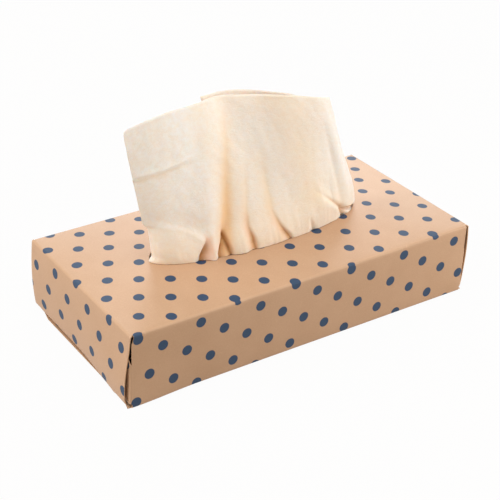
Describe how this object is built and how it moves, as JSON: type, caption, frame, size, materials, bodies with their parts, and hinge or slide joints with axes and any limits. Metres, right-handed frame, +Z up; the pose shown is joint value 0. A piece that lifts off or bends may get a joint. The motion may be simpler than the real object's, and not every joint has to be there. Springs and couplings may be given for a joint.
{
  "type": "tissue box",
  "caption": "Flat tissue box of kraft card with a dotted print, an oval opening in its domed top, tuck-in end flaps, a pile of tissues and a tissue pulled up through the opening.",
  "frame": {"origin": "on the table under the middle of the carton", "axes": "+Z up, +X along the carton's length, -Y towards its front"},
  "size_m": [0.2324, 0.115, 0.1397],
  "materials": {
    "kraft_board": "matte, printed with dark blue dots",
    "tissue_paper": "soft unbleached crepe"
  },
  "bodies": {
    "carton": {"carton": "kraft_board", "tissue_pile": "tissue_paper", "pulled_tissue": "tissue_paper"},
    "left_end_flap": {"left_end_flap": "kraft_board"},
    "right_end_flap": {"right_end_flap": "kraft_board"}
  },
  "joints": [
    {"name": "left_flap_crease", "type": "hinge", "parent": "carton", "child": "left_end_flap", "pos_m": [-0.1138, 0, 0.0445], "axis": [0, 1, 0], "range_deg": [0, 135]},
    {"name": "right_flap_crease", "type": "hinge", "parent": "carton", "child": "right_end_flap", "pos_m": [0.1138, 0, 0.0445], "axis": [0, -1, 0], "range_deg": [0, 135]}
  ]
}
